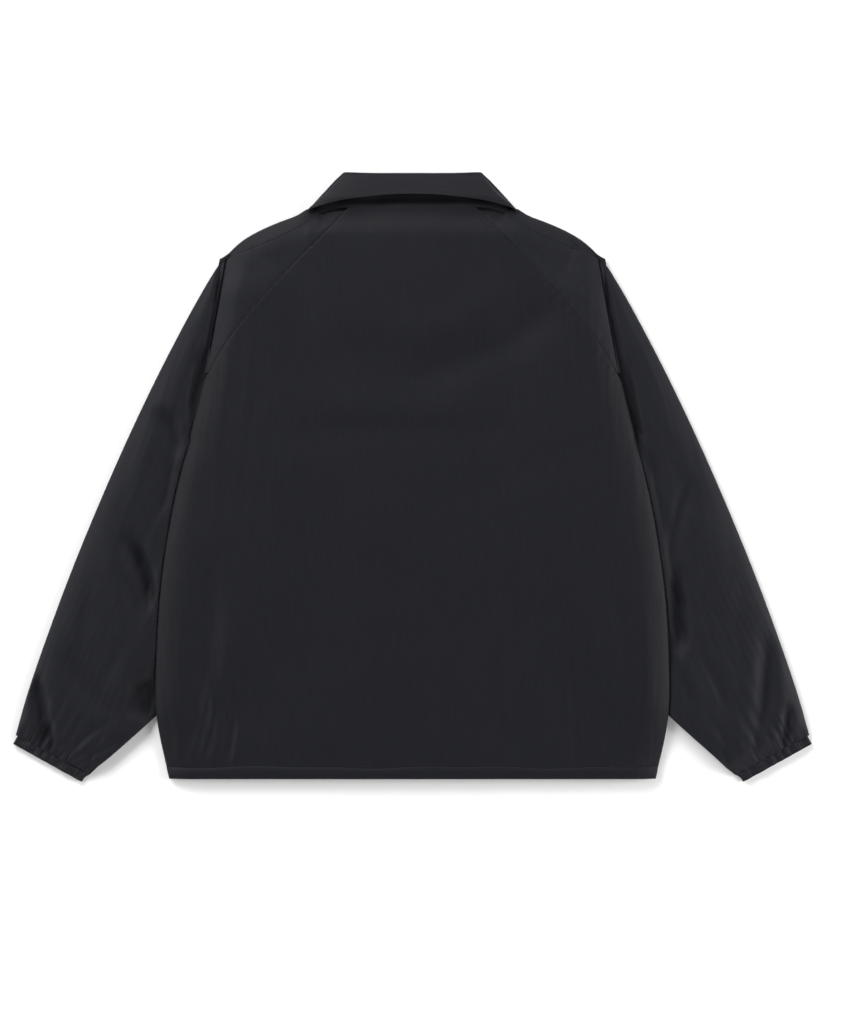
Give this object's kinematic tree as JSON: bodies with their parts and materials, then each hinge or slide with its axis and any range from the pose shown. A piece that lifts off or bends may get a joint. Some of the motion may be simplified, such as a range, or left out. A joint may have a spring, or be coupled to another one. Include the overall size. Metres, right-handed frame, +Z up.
{
  "type": "coach jacket",
  "caption": "Light snap-front nylon jacket laid out flat on its front, with raglan sleeves, a folded one-piece collar, elastic cuffs and a stitched hem casing.",
  "frame": {"origin": "the surface that the jacket lies on, under the middle of its bounding box", "axes": "+X across the jacket towards the wearer's right cuff as seen from above, +Y from hem to collar, +Z up through the layers to the back"},
  "size_m": [0.9554, 0.7303, 0.0142],
  "materials": {
    "nylon_shell": "crinkled matt nylon, almost black",
    "elastic_cuff": "gathered nylon over elastic, almost black",
    "snap_enamel": "black enamelled snap caps"
  },
  "bodies": {
    "root": {"back": "nylon_shell", "front_left": "nylon_shell", "front_right": "nylon_shell", "sleeve_left": "nylon_shell", "sleeve_right": "nylon_shell", "collar": "nylon_shell", "hem_back": "nylon_shell", "hem_front_left": "nylon_shell", "hem_front_right": "nylon_shell", "cuff_left": "elastic_cuff", "cuff_right": "elastic_cuff", "snap_1": "snap_enamel", "snap_2": "snap_enamel", "snap_3": "snap_enamel", "snap_4": "snap_enamel", "snap_5": "snap_enamel", "snap_6": "snap_enamel"}
  },
  "joints": []
}
